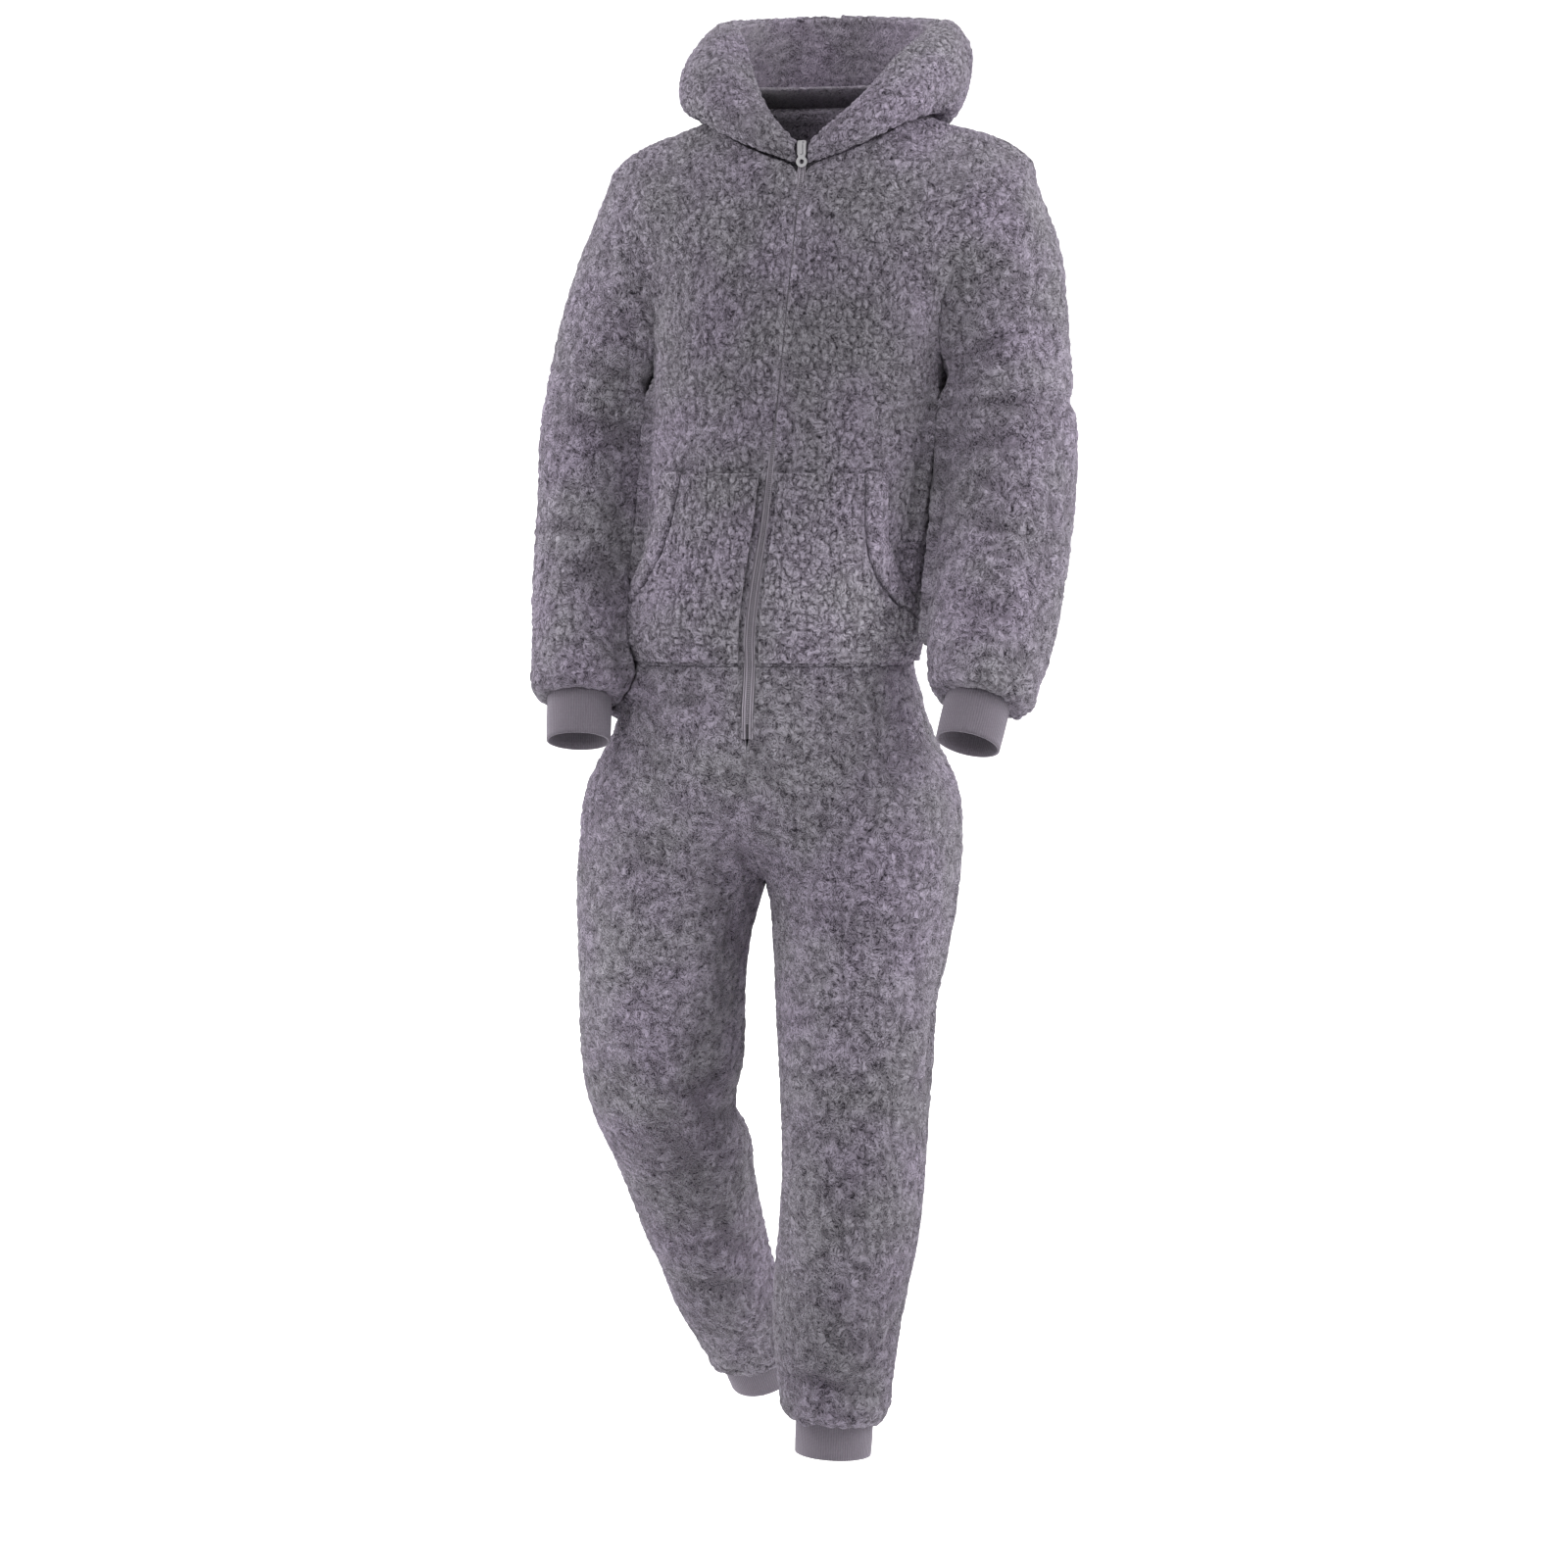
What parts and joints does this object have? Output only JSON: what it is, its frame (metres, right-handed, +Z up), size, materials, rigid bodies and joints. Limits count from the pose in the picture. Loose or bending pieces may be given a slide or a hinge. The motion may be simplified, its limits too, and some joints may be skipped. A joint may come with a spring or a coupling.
{
  "type": "hooded onesie pajama",
  "caption": "Hooded sherpa fleece onesie with a front zip, banded patch pockets and knit cuffs, hollow and filled out as worn in a walking pose.",
  "frame": {"origin": "in the neck opening, close to its middle, 14 mm above the neckline seam at the zip", "axes": "+Z up, from the ankles to the hood; the front faces -Y; +X is the wearer's left"},
  "size_m": [0.6052, 0.4453, 1.6036],
  "materials": {
    "fleece": "curly sherpa pile, matte with a soft sheen",
    "hood_lining": "matte, short curly pile",
    "rib_knit": "matte knit",
    "zip_tape": "matte woven tape",
    "nickel": "satin nickel"
  },
  "bodies": {
    "garment": {"front_left": "fleece", "front_right": "fleece", "back": "fleece", "sleeve_left": "fleece", "sleeve_right": "fleece", "leg_front_left": "fleece", "leg_back_left": "fleece", "leg_front_right": "fleece", "leg_back_right": "fleece", "hood_left": "fleece", "hood_right": "fleece", "pocket_left": "fleece", "pocket_right": "fleece", "pocket_band_left": "fleece", "pocket_band_right": "fleece", "cuff_left": "rib_knit", "cuff_right": "rib_knit", "ankle_cuff_left": "rib_knit", "ankle_cuff_right": "rib_knit", "hood_lining": "hood_lining", "zip_tape_left": "zip_tape", "zip_tape_right": "zip_tape", "zip_slider": "nickel"},
    "pull_tab": {"zip_pull_tab": "nickel"}
  },
  "joints": [
    {"name": "pull_tab_swing", "type": "hinge", "parent": "garment", "child": "pull_tab", "pos_m": [0.005, -0.10413, 0.0074], "axis": [-1, 0, 0], "range_deg": [0, 150]}
  ]
}
